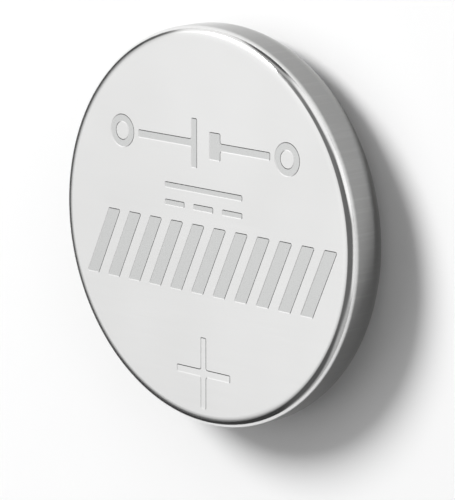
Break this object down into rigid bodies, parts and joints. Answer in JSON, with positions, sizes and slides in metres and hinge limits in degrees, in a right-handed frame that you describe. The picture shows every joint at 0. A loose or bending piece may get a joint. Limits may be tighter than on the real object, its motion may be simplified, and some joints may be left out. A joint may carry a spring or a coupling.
{
  "type": "lithium coin cell",
  "caption": "Flat round lithium battery: a steel can crimped over a sealing ring and a raised negative cap, with lithium, separator and pressed cathode inside.",
  "frame": {"origin": "centre of the negative terminal's flat face, which is the bottom centre of the bounding box", "axes": "+Z along the cell's axis, from the negative terminal to the positive face; +Y towards the top of the marks on the positive face"},
  "size_m": [0.02, 0.02, 0.0032],
  "materials": {
    "can_steel": "bright satin stainless sheet, etched marks on the positive face",
    "seal_plastic": "matt moulded polypropylene",
    "cap_steel": "satin stainless sheet, finely matted by the press",
    "lithium_metal": "soft dull metal with roller marks",
    "separator_fibre": "nonwoven polypropylene felt",
    "cathode_powder": "pressed black powder, matt and slightly grainy",
    "collector_steel": "expanded stainless sheet"
  },
  "bodies": {
    "root": {"positive_can": "can_steel", "sealing_gasket": "seal_plastic", "negative_cap": "cap_steel", "lithium_anode": "lithium_metal", "separator": "separator_fibre", "cathode_pellet": "cathode_powder", "cathode_collector": "collector_steel"}
  },
  "joints": []
}
